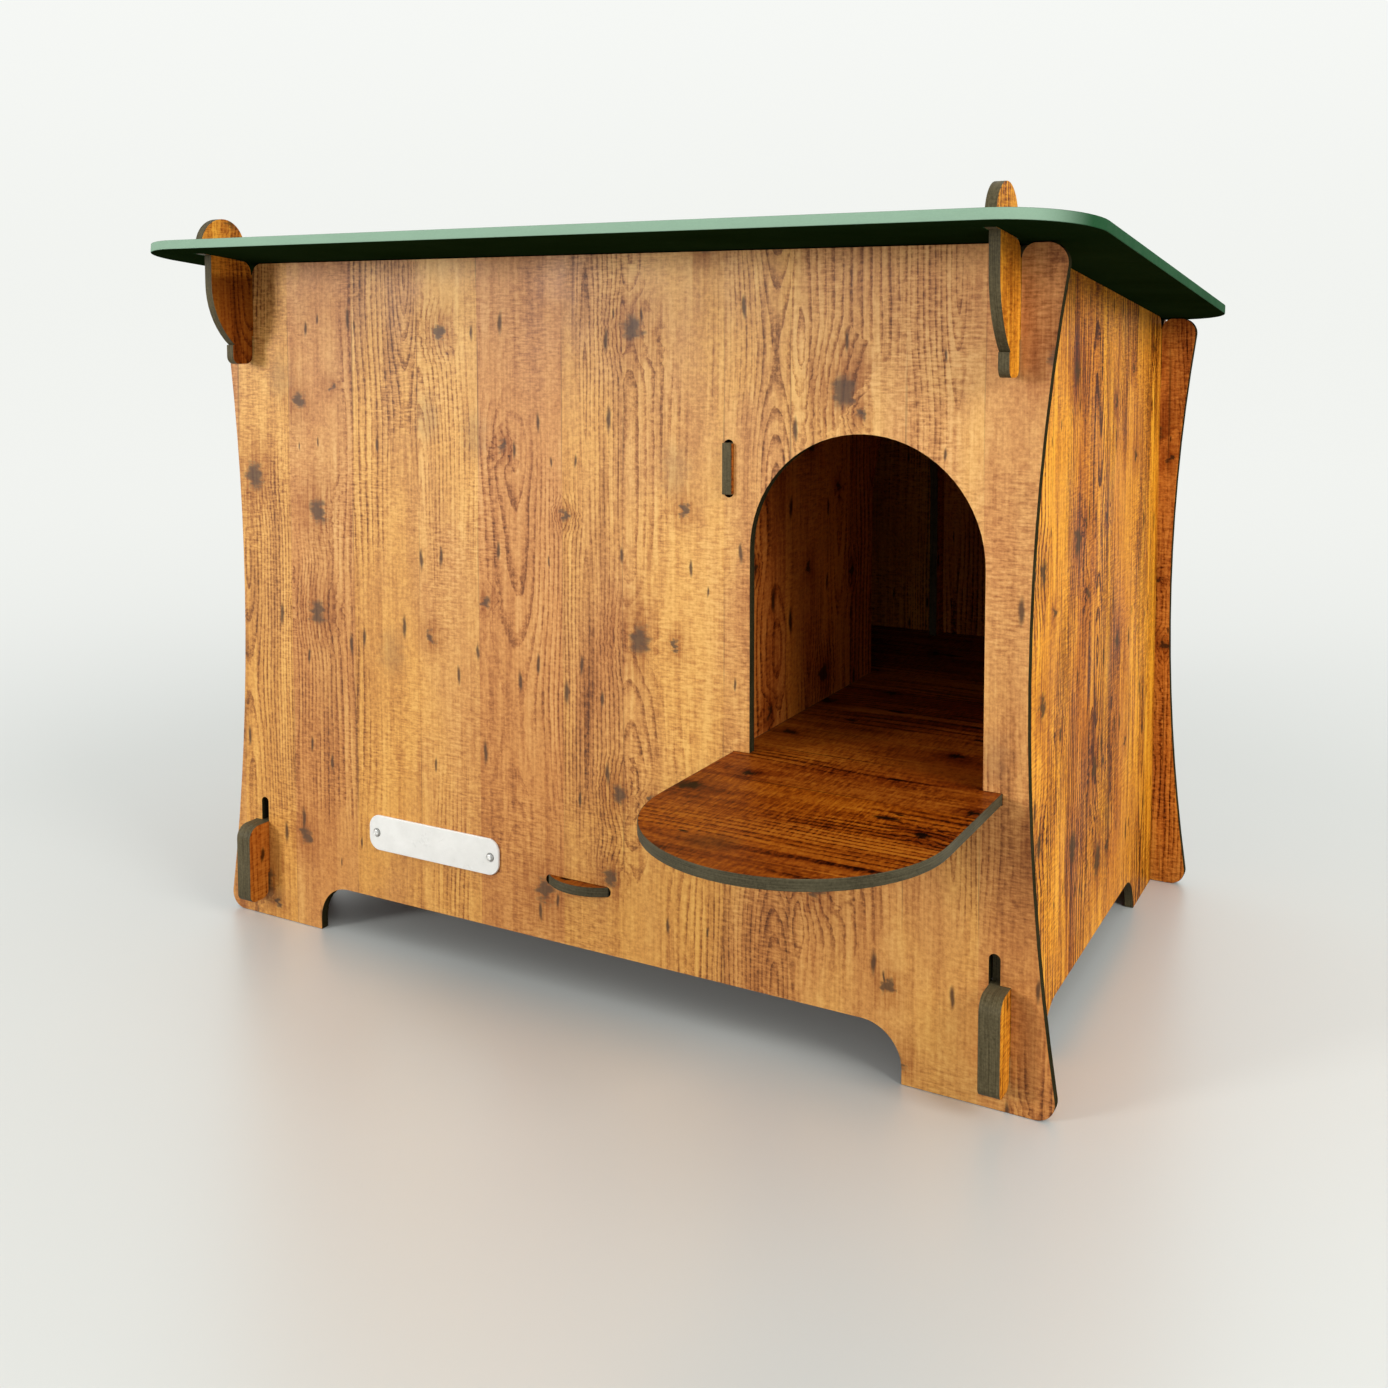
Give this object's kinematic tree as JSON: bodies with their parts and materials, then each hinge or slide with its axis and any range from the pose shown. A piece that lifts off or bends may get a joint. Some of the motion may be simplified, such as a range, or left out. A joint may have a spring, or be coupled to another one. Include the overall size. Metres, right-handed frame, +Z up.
{
  "type": "duck house",
  "caption": "Flat-pack duck house of slotted boards with an arched doorway, round-ended landing, partitioned nest and a sloping roof that lifts at the back.",
  "frame": {"origin": "on the ground, in the middle of the overall box", "axes": "+Z up, +Y from the front to the back, +X to the right as seen from the front"},
  "size_m": [1.08, 0.938, 0.8227],
  "materials": {
    "wall_board": "satin printed wood grain, upright planks",
    "floor_board": "satin printed wood grain, darker, across the house",
    "roof_board": "satin green paint",
    "plate": "blank pale plate",
    "rivets": "brushed"
  },
  "bodies": {
    "house": {"front_panel": "wall_board", "back_panel": "wall_board", "left_side_panel": "wall_board", "right_side_panel": "wall_board", "left_floor_rail": "wall_board", "right_floor_rail": "wall_board", "partition": "wall_board", "base_floor": "floor_board", "raised_floor": "floor_board", "name_plate": "plate", "plate_rivets": "rivets"},
    "roof": {"roof_panel": "roof_board"}
  },
  "joints": [
    {"name": "roof_lift", "type": "hinge", "parent": "house", "child": "roof", "pos_m": [0, -0.2335, 0.79102], "axis": [1, 0, 0], "range_deg": [0, 35]}
  ]
}
